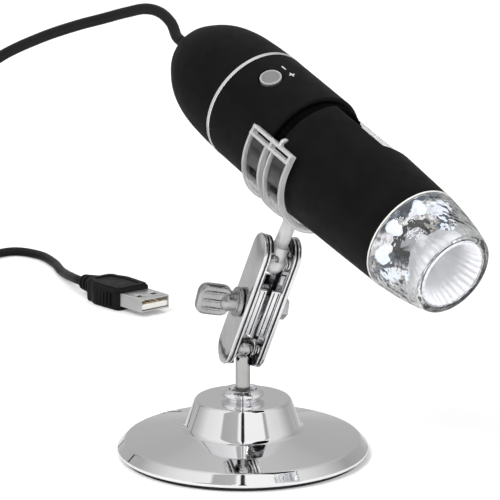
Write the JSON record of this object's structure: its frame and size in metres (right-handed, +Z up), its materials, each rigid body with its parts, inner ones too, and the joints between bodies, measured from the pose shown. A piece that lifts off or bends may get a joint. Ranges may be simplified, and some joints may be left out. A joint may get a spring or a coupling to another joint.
{
  "type": "usb digital microscope on a stand",
  "caption": "Handheld digital microscope with a clear lit nose, held in a clear clip on a small chrome stand with a ball-jointed clamp, with a coiled cord and plug.",
  "frame": {"origin": "centre of the underside of the round foot pad, on the table", "axes": "+Z up; seen along +Y with +X to the right, the nose points right, down and towards the viewer"},
  "size_m": [0.2254, 0.3079, 0.1208],
  "materials": {
    "base_chrome": "polished chrome plate",
    "clamp_chrome": "bright nickel plate",
    "steel": "plain turned steel",
    "weight": "cast, unpainted",
    "pad": "matt rubber foam",
    "soft_black": "soft matt coating",
    "wheel_black": "matt rubber",
    "silver_plastic": "silver plated trim",
    "grey_plastic": "satin",
    "dark_plastic": "moulded",
    "clear_plastic": "clear moulded acrylic",
    "clip_clear": "clear moulded polycarbonate",
    "lens_glass": "coated lens",
    "led_white": "clear resin, lit",
    "board_green": "printed board",
    "board_white": "white printed board",
    "cord_black": "satin cord jacket",
    "plug_black": "matt moulding",
    "plug_metal": "bright plated sheet",
    "tongue": "white moulding",
    "contact_gold": "gold plated"
  },
  "bodies": {
    "stand": {"foot_pad": "pad", "base_shell": "base_chrome", "base_weight": "weight", "cord_lead": "cord_black", "cord_coil": "cord_black", "cord_tail": "cord_black", "coil_tie": "dark_plastic", "plug_grip": "plug_black", "plug_neck": "plug_black", "plug_shell": "plug_metal", "plug_tongue": "tongue", "plug_contact_1": "contact_gold", "plug_contact_2": "contact_gold", "plug_contact_3": "contact_gold", "plug_contact_4": "contact_gold"},
    "rod": {"ball_rod": "clamp_chrome", "rod_nut": "steel"},
    "clamp": {"inner_clamp_shell": "clamp_chrome", "clamp_spacer": "steel", "clamp_nut": "steel"},
    "outer_jaw": {"outer_clamp_shell": "clamp_chrome"},
    "thumb_screw": {"wing_screw": "clamp_chrome"},
    "holder": {"holder_ball": "clamp_chrome", "ball_screw": "steel"},
    "clip_holder": {"clip": "clip_clear"},
    "microscope": {"rear_cap": "soft_black", "cord_gland": "cord_black", "silver_ring": "silver_plastic", "main_sleeve": "soft_black", "front_housing": "soft_black", "nose_shell": "clear_plastic", "light_guide": "clear_plastic", "inner_tube": "dark_plastic", "sensor_board": "board_green", "image_sensor": "dark_plastic", "main_board": "board_green", "zoom_switch": "grey_plastic", "led_board": "board_white", "led_1": "led_white", "led_2": "led_white", "led_3": "led_white", "led_4": "led_white", "led_5": "led_white", "led_6": "led_white", "led_7": "led_white", "led_8": "led_white"},
    "button": {"zoom_button": "grey_plastic"},
    "wheel": {"focus_wheel": "wheel_black"},
    "lens": {"lens_barrel": "dark_plastic", "objective_lens": "lens_glass"}
  },
  "joints": [
    {"name": "rod_swivel", "type": "hinge", "parent": "stand", "child": "rod", "pos_m": [0, 0, 0.0311], "axis": [0, 0, 1], "range_deg": [-180, 180], "deforming": ["cord_lead"]},
    {"name": "clamp_tilt", "type": "hinge", "parent": "rod", "child": "clamp", "pos_m": [0, 0, 0.0311], "axis": [-0.9294, -0.3133, 0.1951], "range_deg": [-25, 45], "deforming": ["cord_lead"]},
    {"name": "outer_jaw_slide", "type": "slide", "parent": "clamp", "child": "outer_jaw", "axis": [-0.9294, -0.3133, 0.1951], "range_m": [0, 0.00052]},
    {"name": "wing_screw_turn", "type": "hinge", "parent": "outer_jaw", "child": "thumb_screw", "pos_m": [0.00424, -0.00439, 0.04425], "axis": [-0.9294, -0.3133, 0.1951], "range_deg": [0, 270]},
    {"name": "holder_tilt", "type": "hinge", "parent": "clamp", "child": "holder", "pos_m": [0.00848, -0.00878, 0.0574], "axis": [-0.9294, -0.3133, 0.1951], "range_deg": [-25, 50], "deforming": ["cord_lead"]},
    {"name": "clip_swivel", "type": "hinge", "parent": "holder", "child": "clip_holder", "pos_m": [0.00848, -0.00878, 0.0574], "axis": [0.3497, -0.1856, 0.9183], "range_deg": [-180, 180], "deforming": ["cord_lead"]},
    {"name": "microscope_roll", "type": "hinge", "parent": "clip_holder", "child": "microscope", "pos_m": [0.00412, 0.00584, 0.09774], "axis": [0.5655, -0.7396, -0.3649], "range_deg": [-180, 180], "deforming": ["cord_lead"]},
    {"name": "zoom_press", "type": "slide", "parent": "microscope", "child": "button", "axis": [0.1207, 0.5118, -0.8506], "range_m": [0, 0.0007], "stiffness_N_per_m": 1500, "springref_m": -0.0002},
    {"name": "focus_turn", "type": "hinge", "parent": "microscope", "child": "wheel", "pos_m": [0.00412, 0.00584, 0.09774], "axis": [0.5655, -0.7396, -0.3649], "range_deg": [-240, 60]},
    {"name": "lens_slide", "type": "slide", "parent": "microscope", "child": "lens", "axis": [0.5655, -0.7396, -0.3649], "range_m": [-0.008, 0.002]}
  ],
  "couplings": [
    {"joint": "wing_screw_turn", "follows": "outer_jaw_slide", "rad_per_m": 8976},
    {"joint": "focus_turn", "follows": "lens_slide", "rad_per_m": 523.6}
  ]
}
